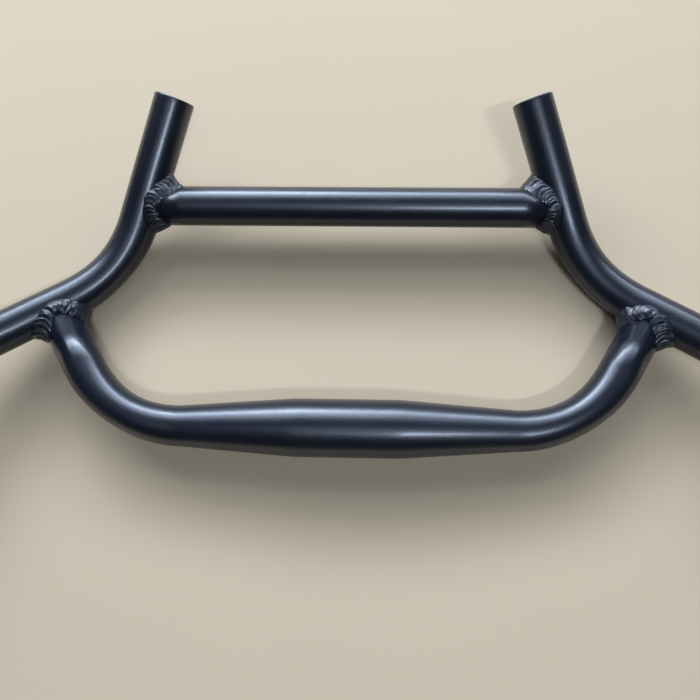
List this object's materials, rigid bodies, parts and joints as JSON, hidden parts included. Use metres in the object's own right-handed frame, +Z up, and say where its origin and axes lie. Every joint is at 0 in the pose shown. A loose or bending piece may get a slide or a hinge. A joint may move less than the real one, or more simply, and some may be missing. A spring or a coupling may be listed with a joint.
{
  "type": "braced handlebar with horns and swept grips",
  "caption": "Welded multi-position bicycle handlebar: thick clamp zone, swept grips, forward horns joined by a brace, satin black.",
  "frame": {"origin": "middle of the stem clamp zone, on the axis of the centre bar", "axes": "+X along the clamp zone to the rider's right, +Y forward to the horns, +Z up as the bar lies on a flat surface"},
  "size_m": [0.7514, 0.2646, 0.084],
  "materials": {
    "tube_paint": "satin black paint over aluminium tube, slightly blue in the light",
    "weld_paint": "the same satin black paint, over rippled weld beads"
  },
  "bodies": {
    "root": {"centre_bar": "tube_paint", "left_side_tube": "tube_paint", "right_side_tube": "tube_paint", "brace_tube": "tube_paint", "left_brace_weld": "weld_paint", "right_brace_weld": "weld_paint", "left_arm_weld": "weld_paint", "right_arm_weld": "weld_paint"}
  },
  "joints": []
}
